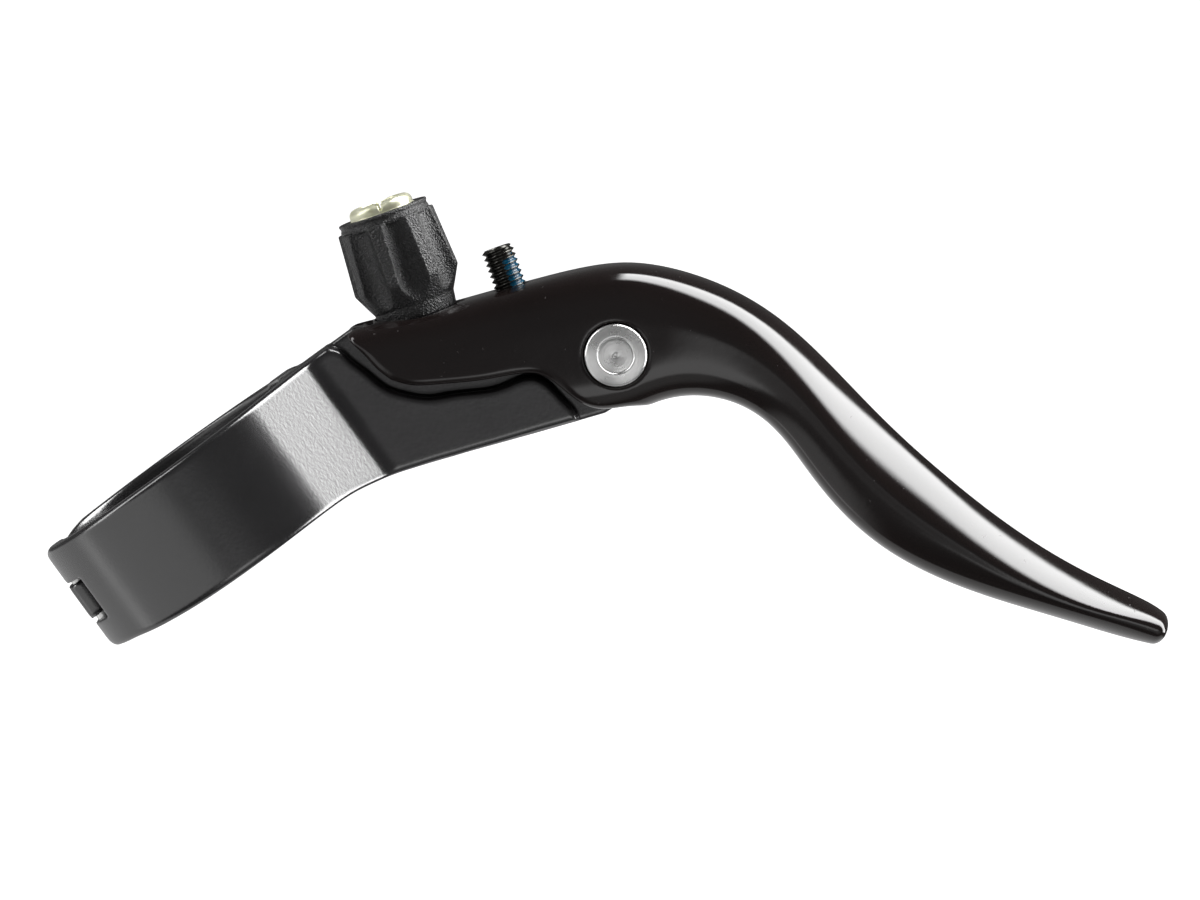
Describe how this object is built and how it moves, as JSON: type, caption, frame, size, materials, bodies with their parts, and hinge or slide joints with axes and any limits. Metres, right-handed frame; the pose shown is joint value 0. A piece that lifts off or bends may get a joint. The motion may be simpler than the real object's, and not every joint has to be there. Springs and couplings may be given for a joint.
{
  "type": "cross-top brake lever",
  "caption": "Cross-top brake lever with hinged handlebar clamp, forked blade, barrel adjuster and reach adjusting screw",
  "frame": {"origin": "centre of the handlebar bore in the clamp", "axes": "+X along the handlebar towards the blade tip, +Y from the bar forward to the lever, +Z along the lever pivot, square to the bar"},
  "size_m": [0.0992, 0.1047, 0.038],
  "materials": {
    "black_satin": "satin black coating on forged aluminium",
    "black_gloss": "gloss black coating on forged aluminium",
    "steel": "turned and zinc plated steel",
    "black_steel": "black oxide steel",
    "yellow_zinc": "pale yellow plated metal",
    "bronze": "sintered bronze",
    "black_plastic": "textured black plastic",
    "nylon": "black nylon",
    "blue_nylon": "blue thread-lock patch",
    "rubber": "black rubber"
  },
  "bodies": {
    "bracket": {"bracket": "black_satin", "clamp_hinge_pin": "steel", "housing_stop_sleeve": "steel", "pivot_bush": "bronze", "thrust_washer_upper": "nylon", "thrust_washer_lower": "nylon"},
    "cap": {"clamp_cap": "black_satin"},
    "bolt_washer": {"clamp_bolt_washer": "black_steel"},
    "bolt": {"clamp_bolt": "black_steel"},
    "lever": {"lever_blade": "black_gloss", "pivot_pin": "steel", "pivot_retaining_washer": "steel", "pivot_retaining_screw": "steel"},
    "adjuster_ring": {"adjuster_oring": "rubber"},
    "adjuster": {"adjuster_barrel": "yellow_zinc", "adjuster_knob": "black_plastic"},
    "reach_screw": {"reach_screw": "black_steel", "reach_screw_lock_patch": "blue_nylon"}
  },
  "joints": [
    {"name": "lever_pivot", "type": "hinge", "parent": "bracket", "child": "lever", "pos_m": [0.01334, 0.05084, 0], "axis": [0, 0, -1], "range_deg": [0, 18]},
    {"name": "clamp_bolt_turn", "type": "hinge", "parent": "bolt_washer", "child": "bolt", "pos_m": [0, 0.0222, -0.01], "axis": [0, 0, -1], "range_deg": [0, 2160]},
    {"name": "clamp_bolt_travel", "type": "slide", "parent": "bracket", "child": "bolt_washer", "axis": [0, 0, -1], "range_m": [0, 0.0048]},
    {"name": "clamp_cap_hinge", "type": "hinge", "parent": "bracket", "child": "cap", "pos_m": [0, -0.0175, 0], "axis": [-1, 0, 0], "range_deg": [0, 5.5]},
    {"name": "adjuster_turn", "type": "hinge", "parent": "adjuster_ring", "child": "adjuster", "pos_m": [-0.00325, 0.03405, 0], "axis": [-0.9584, 0.2854, 0], "range_deg": [0, 1260]},
    {"name": "adjuster_travel", "type": "slide", "parent": "lever", "child": "adjuster_ring", "axis": [-0.9584, 0.2854, 0], "range_m": [0, 0.0035]},
    {"name": "reach_screw_travel", "type": "slide", "parent": "lever", "child": "reach_screw", "axis": [-0.9584, 0.2854, 0], "range_m": [0, 0.0035]}
  ],
  "couplings": [
    {"joint": "clamp_bolt_turn", "follows": "clamp_bolt_travel", "rad_per_m": 7854},
    {"joint": "clamp_cap_hinge", "follows": "clamp_bolt_travel", "rad_per_m": 19.998},
    {"joint": "adjuster_turn", "follows": "adjuster_travel", "rad_per_m": 6283.2}
  ]
}
